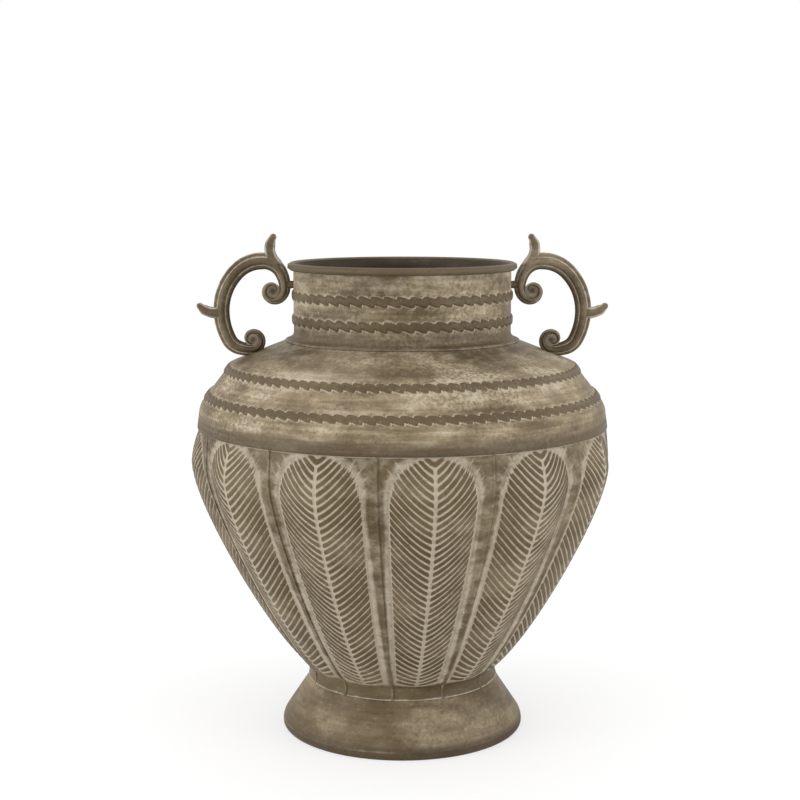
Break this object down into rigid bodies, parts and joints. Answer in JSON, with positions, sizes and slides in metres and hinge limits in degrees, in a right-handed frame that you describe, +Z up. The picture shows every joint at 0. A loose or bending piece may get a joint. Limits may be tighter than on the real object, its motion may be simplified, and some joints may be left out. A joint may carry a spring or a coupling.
{
  "type": "urn vase",
  "caption": "Footed urn vase of pressed leaf panels with rope beads round shoulder and neck, a rolled rim and a scroll handle on each side, for dry stems or flowers in a liner.",
  "frame": {"origin": "centre of the foot on the surface the vase stands on", "axes": "+Z up the vase's axis, +X towards the right handle, -Y towards the front"},
  "size_m": [0.3116, 0.3116, 0.3712],
  "materials": {
    "leaf_sheet": "matte brown paint with a pale wiped wash in the veins",
    "shoulder_sheet": "matte brown paint with a pale wiped wash",
    "neck_sheet": "matte brown paint with a pale wiped wash, dark inside",
    "foot_sheet": "matte brown paint with light scratches",
    "floor_sheet": "matte dark brown paint",
    "cast_scroll": "matte brown paint with a pale wash in the grooves",
    "wire": "plain drawn wire"
  },
  "bodies": {
    "root": {"foot_skirt": "foot_sheet", "foot_wire": "wire", "floor_plate": "floor_sheet", "leaf_panel_01": "leaf_sheet", "leaf_panel_02": "leaf_sheet", "leaf_panel_03": "leaf_sheet", "leaf_panel_04": "leaf_sheet", "leaf_panel_05": "leaf_sheet", "leaf_panel_06": "leaf_sheet", "leaf_panel_07": "leaf_sheet", "leaf_panel_08": "leaf_sheet", "leaf_panel_09": "leaf_sheet", "leaf_panel_10": "leaf_sheet", "leaf_panel_11": "leaf_sheet", "leaf_panel_12": "leaf_sheet", "shoulder_dome": "shoulder_sheet", "neck_collar": "neck_sheet", "rim_wire": "wire", "handle_left": "cast_scroll", "handle_right": "cast_scroll", "neck_lug_left": "cast_scroll", "neck_lug_right": "cast_scroll"}
  },
  "joints": []
}
